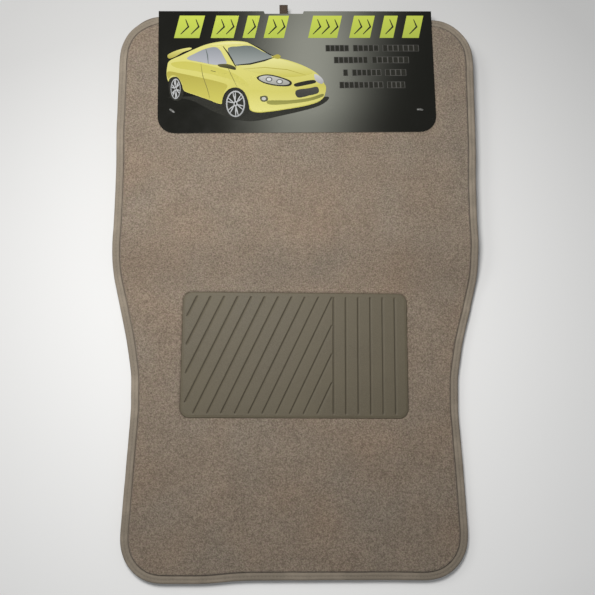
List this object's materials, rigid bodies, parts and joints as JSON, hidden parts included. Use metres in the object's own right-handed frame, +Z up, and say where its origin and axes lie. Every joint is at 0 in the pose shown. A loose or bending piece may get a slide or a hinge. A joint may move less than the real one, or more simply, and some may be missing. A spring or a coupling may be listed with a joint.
{
  "type": "vehicle floor mat set",
  "caption": "Stack of bound carpet floor mats, hourglass front mats with a grooved heel pad over plain rear mats, held in a folded glossy header card.",
  "frame": {"origin": "middle of the footprint of the whole pack, on the ground plane it lies on", "axes": "+X across the mats, +Y along the mats towards the header card's fold, +Z up out of the pile"},
  "size_m": [0.438, 0.695, 0.0288],
  "materials": {
    "carpet": "cut pile, mottled taupe",
    "backing": "matte, nibbed",
    "binding": "woven tape, olive taupe",
    "thread": "twisted polyester thread",
    "heel_pad": "moulded PVC, fine grain, soft sheen",
    "printed_card": "printed, glossy lacquer",
    "plain_board": "uncoated grey board",
    "hang_tape": "woven tape, dark brown",
    "nylon": "translucent nylon"
  },
  "bodies": {
    "card_back": {"header_card_back": "plain_board", "tag_pin_left": "nylon", "tag_pin_right": "nylon"},
    "card_spine": {"header_card_spine": "printed_card"},
    "card_front": {"header_card_front": "printed_card", "tag_pin_head_left": "nylon", "tag_pin_head_right": "nylon"},
    "hang_loop": {"hang_loop": "hang_tape"},
    "driver_mat": {"driver_mat_carpet": "carpet", "driver_mat_backing": "backing", "driver_mat_binding": "binding", "driver_mat_stitching": "thread", "driver_mat_heel_pad": "heel_pad"},
    "passenger_mat": {"passenger_mat_carpet": "carpet", "passenger_mat_backing": "backing", "passenger_mat_binding": "binding", "passenger_mat_stitching": "thread"},
    "rear_left_mat": {"rear_left_mat_carpet": "carpet", "rear_left_mat_backing": "backing", "rear_left_mat_binding": "binding", "rear_left_mat_stitching": "thread"},
    "rear_right_mat": {"rear_right_mat_carpet": "carpet", "rear_right_mat_backing": "backing", "rear_right_mat_binding": "binding", "rear_right_mat_stitching": "thread"}
  },
  "joints": [
    {"name": "spine_fold", "type": "hinge", "parent": "card_back", "child": "card_spine", "pos_m": [-0.0032, 0.3337, 0.0012], "axis": [-0.9997, -0.0243, 0], "range_deg": [0, 90]},
    {"name": "front_fold", "type": "hinge", "parent": "card_spine", "child": "card_front", "pos_m": [-0.0032, 0.3337, 0.0277], "axis": [-0.9997, -0.0243, 0], "range_deg": [0, 90], "deforming": ["tag_pin_left", "tag_pin_right"]},
    {"name": "loop_swing", "type": "hinge", "parent": "card_spine", "child": "hang_loop", "pos_m": [-0.0182, 0.33334, 0.0185], "axis": [0.9997, 0.0243, 0], "range_deg": [0, 75]},
    {"name": "driver_slide", "type": "slide", "parent": "card_back", "child": "driver_mat", "axis": [-1, 0, 0], "range_m": [0, 0.46], "deforming": ["tag_pin_left", "tag_pin_right"]},
    {"name": "passenger_slide", "type": "slide", "parent": "card_back", "child": "passenger_mat", "axis": [1, 0, 0], "range_m": [0, 0.46], "deforming": ["tag_pin_left", "tag_pin_right"]},
    {"name": "rear_left_slide", "type": "slide", "parent": "card_back", "child": "rear_left_mat", "axis": [-1, 0, 0], "range_m": [0, 0.46], "deforming": ["tag_pin_left", "tag_pin_right"]},
    {"name": "rear_right_slide", "type": "slide", "parent": "card_back", "child": "rear_right_mat", "axis": [1, 0, 0], "range_m": [0, 0.46], "deforming": ["tag_pin_left", "tag_pin_right"]}
  ]
}
